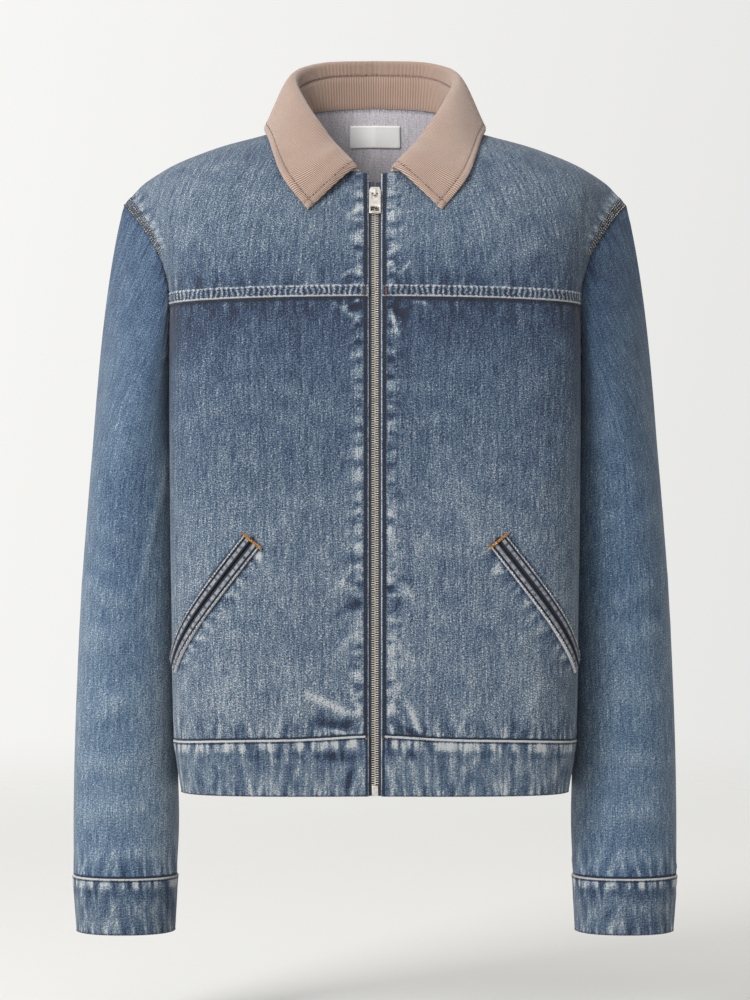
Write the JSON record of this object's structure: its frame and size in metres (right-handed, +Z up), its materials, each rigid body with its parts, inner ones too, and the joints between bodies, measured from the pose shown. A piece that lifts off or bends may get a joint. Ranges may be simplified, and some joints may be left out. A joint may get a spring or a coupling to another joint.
{
  "type": "denim jacket",
  "caption": "Waist-length denim jacket with a full front zip, a turned-down corduroy collar, slanted welt pockets, cuffs and a waistband, filled out as worn.",
  "frame": {"origin": "middle of the neck, level with where the shoulder seams meet the collar", "axes": "+Z up, +X to the right as seen from in front, the front faces -Y"},
  "size_m": [0.531, 0.2329, 0.7736],
  "materials": {
    "denim": "washed denim",
    "corduroy": "fine-wale corduroy",
    "label": "woven",
    "zip_tape": "woven",
    "zip_teeth": "polished",
    "zip_nickel": "polished"
  },
  "bodies": {
    "jacket": {"back": "denim", "collar_fall": "corduroy", "collar_stand": "corduroy", "cuff_left": "denim", "cuff_right": "denim", "front_left": "denim", "front_right": "denim", "front_yoke_left": "denim", "front_yoke_right": "denim", "neck_label": "label", "pocket_welt_lower_left": "denim", "pocket_welt_lower_right": "denim", "pocket_welt_upper_left": "denim", "pocket_welt_upper_right": "denim", "sleeve_left": "denim", "sleeve_right": "denim", "waistband": "denim", "zip_box": "zip_nickel", "zip_chain": "zip_teeth", "zip_slider": "zip_nickel", "zip_tape_left": "zip_tape", "zip_tape_right": "zip_tape"},
    "pull_tab": {"zip_pull": "zip_nickel"}
  },
  "joints": [
    {"name": "pull_swing", "type": "hinge", "parent": "jacket", "child": "pull_tab", "pos_m": [0, -0.07482, -0.06882], "axis": [-1, 0, 0], "range_deg": [0, 150]}
  ]
}
